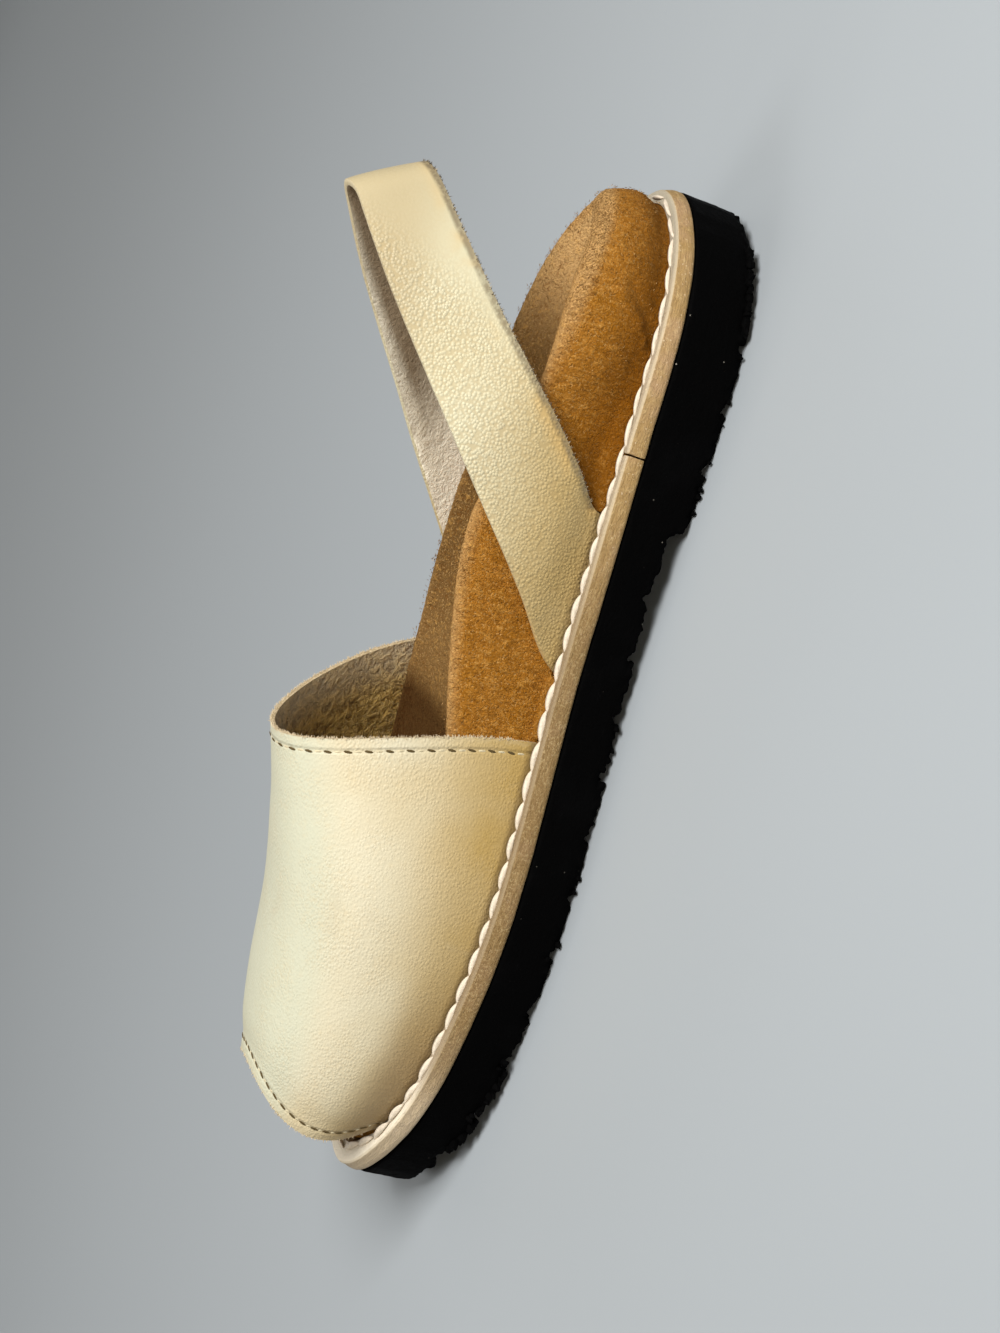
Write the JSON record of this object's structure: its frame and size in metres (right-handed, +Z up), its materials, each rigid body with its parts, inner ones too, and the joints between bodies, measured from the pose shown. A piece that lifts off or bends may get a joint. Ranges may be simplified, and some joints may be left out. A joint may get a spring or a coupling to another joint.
{
  "type": "peep-toe slingback sandal",
  "caption": "Low peep-toe slingback sandal with a leather vamp and heel strap, suede-covered contoured footbed, leather welt and treaded rubber sole.",
  "frame": {"origin": "centre of the bounding box in plan, on the plane the sole stands on", "axes": "+X from heel to toe, +Y to the medial (inner) side, +Z up"},
  "size_m": [0.2514, 0.085, 0.097],
  "materials": {
    "outsole": "matt black, moulded tread",
    "welt": "natural vegetable-tanned, cut edge showing",
    "footbed": "tan suede cover over a soft core",
    "vamp": "cream, fine grain, raw edges",
    "heel_strap": "cream, pebbled grain"
  },
  "bodies": {
    "root": {"outsole": "outsole", "welt": "welt", "footbed": "footbed", "vamp": "vamp", "heel_strap": "heel_strap"}
  },
  "joints": []
}
